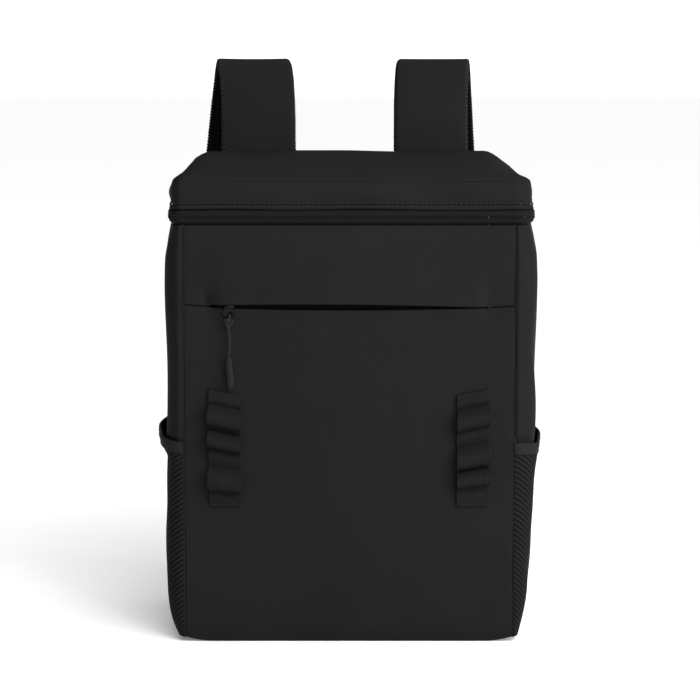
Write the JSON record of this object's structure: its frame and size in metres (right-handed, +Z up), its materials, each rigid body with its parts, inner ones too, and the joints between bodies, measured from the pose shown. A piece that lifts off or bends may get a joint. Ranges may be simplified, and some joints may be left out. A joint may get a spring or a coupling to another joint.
{
  "type": "cooler backpack",
  "caption": "Upright padded cooler backpack with a zipped crowned lid, a slit pocket with a corded pull, looped front webbing, mesh side pockets and arched shoulder straps.",
  "frame": {"origin": "middle of the base's underside, on the surface that the bag stands on", "axes": "+Z up, the front with the slit pocket faces -Y, +X is to the right as seen from the front"},
  "size_m": [0.3094, 0.3028, 0.4588],
  "materials": {
    "coated_fabric": "smooth matte coated cloth, near black, with a soft sheen",
    "piping": "thin coated welt, dark grey",
    "pocket_mesh": "fine knitted mesh, near black, matte",
    "binding": "folded binding tape, dark grey",
    "zip_tape": "woven zip tape, black, matte",
    "zip_coil": "fine coil teeth, black",
    "painted_zip": "black painted metal, satin",
    "webbing": "ribbed woven webbing and cord, near black, matte",
    "air_mesh": "open air mesh, black, matte",
    "moulded": "moulded plastic, black, satin"
  },
  "bodies": {
    "root": {"base_panel": "coated_fabric", "front_panel_lower": "coated_fabric", "front_panel_upper": "coated_fabric", "back_panel": "coated_fabric", "side_panel_left": "coated_fabric", "side_panel_right": "coated_fabric", "piping_left": "piping", "piping_right": "piping", "side_pocket_left": "pocket_mesh", "side_pocket_right": "pocket_mesh", "pocket_binding_left": "binding", "pocket_binding_right": "binding", "zip_tape_lower": "zip_tape", "zip_tape_upper": "zip_tape", "zip_coil": "zip_coil", "zip_slider": "painted_zip", "lid_hinge": "coated_fabric", "lid_hem": "coated_fabric", "lid_band": "coated_fabric", "lid_top": "coated_fabric", "front_zip_tape": "zip_tape", "front_zip_coil": "zip_coil", "front_zip_slider": "painted_zip", "zip_pull_tab": "painted_zip", "pull_knot": "webbing", "pull_cord": "webbing", "pull_grip": "moulded", "front_webbing_left": "webbing", "front_webbing_right": "webbing", "strap_pad_left": "coated_fabric", "strap_pad_right": "coated_fabric", "strap_lining_left": "air_mesh", "strap_lining_right": "air_mesh", "strap_adjuster_left": "moulded", "strap_adjuster_right": "moulded", "lower_webbing_left": "webbing", "lower_webbing_right": "webbing", "lower_anchor_left": "webbing", "lower_anchor_right": "webbing"}
  },
  "joints": []
}
